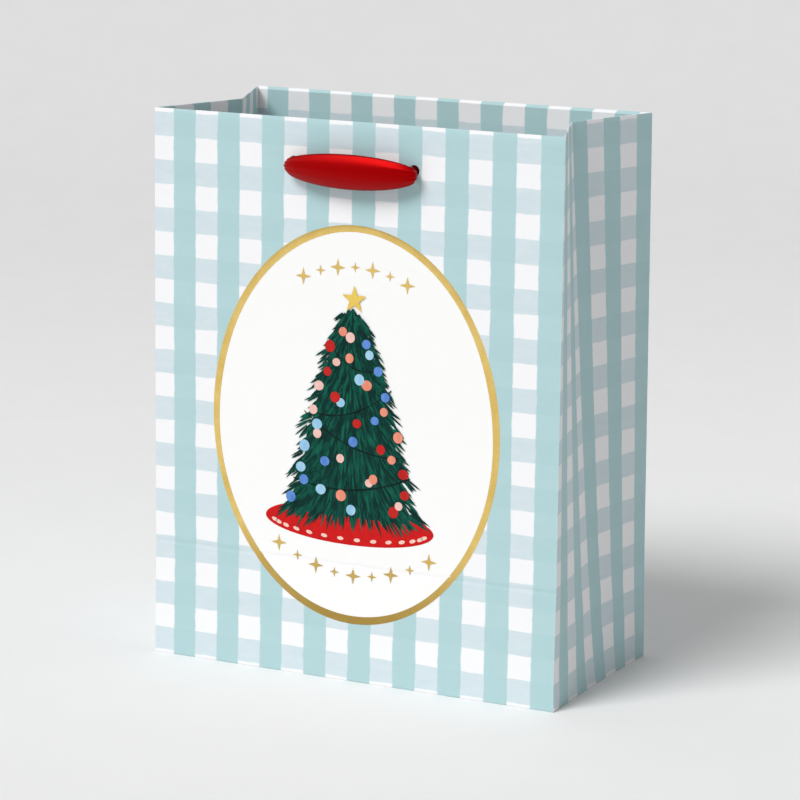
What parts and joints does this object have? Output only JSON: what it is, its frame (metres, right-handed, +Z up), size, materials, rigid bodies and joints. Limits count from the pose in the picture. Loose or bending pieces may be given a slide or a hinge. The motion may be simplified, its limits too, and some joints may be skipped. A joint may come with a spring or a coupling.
{
  "type": "gift bag",
  "caption": "Upright paper gift bag with pleated gussets, a turned-in mouth, a base board and short ribbon handles that swing.",
  "frame": {"origin": "middle of the footprint, on the surface that the bag stands on", "axes": "+Z up through the open mouth, -Y out of the front panel, +X towards the right gusset seen from the front"},
  "size_m": [0.2032, 0.1136, 0.254],
  "materials": {
    "printed_paper": "satin coated paper, printed with a teal and white gingham",
    "plain_paper": "matte uncoated side of the paper",
    "grey_card": "matte grey card",
    "white_board": "matte white board",
    "red_satin": "red satin ribbon",
    "gold_foil": "hot-stamped gold foil",
    "print_ink": "satin printed ink"
  },
  "bodies": {
    "bag": {"front_panel": "printed_paper", "back_panel": "printed_paper", "left_gusset_front": "printed_paper", "left_gusset_back": "printed_paper", "right_gusset_front": "printed_paper", "right_gusset_back": "printed_paper", "front_hem": "printed_paper", "back_hem": "printed_paper", "left_hem_front": "printed_paper", "left_hem_back": "printed_paper", "right_hem_front": "printed_paper", "right_hem_back": "printed_paper", "front_handle_card": "grey_card", "back_handle_card": "grey_card", "bottom_front_flap": "plain_paper", "bottom_back_flap": "plain_paper", "bottom_left_flap": "plain_paper", "bottom_right_flap": "plain_paper", "base_board": "white_board", "seam_lap": "plain_paper", "front_knot_1": "red_satin", "front_knot_2": "red_satin", "back_knot_1": "red_satin", "back_knot_2": "red_satin"},
    "front_handle": {"front_ribbon": "red_satin"},
    "back_handle": {"back_ribbon": "red_satin"}
  },
  "joints": [
    {"name": "front_handle_swing", "type": "hinge", "parent": "bag", "child": "front_handle", "pos_m": [0, -0.04958, 0.23451], "axis": [-1, 0, 0], "range_deg": [-38, 50]},
    {"name": "back_handle_swing", "type": "hinge", "parent": "bag", "child": "back_handle", "pos_m": [0, 0.04958, 0.23451], "axis": [1, 0, 0], "range_deg": [-38, 50]}
  ]
}
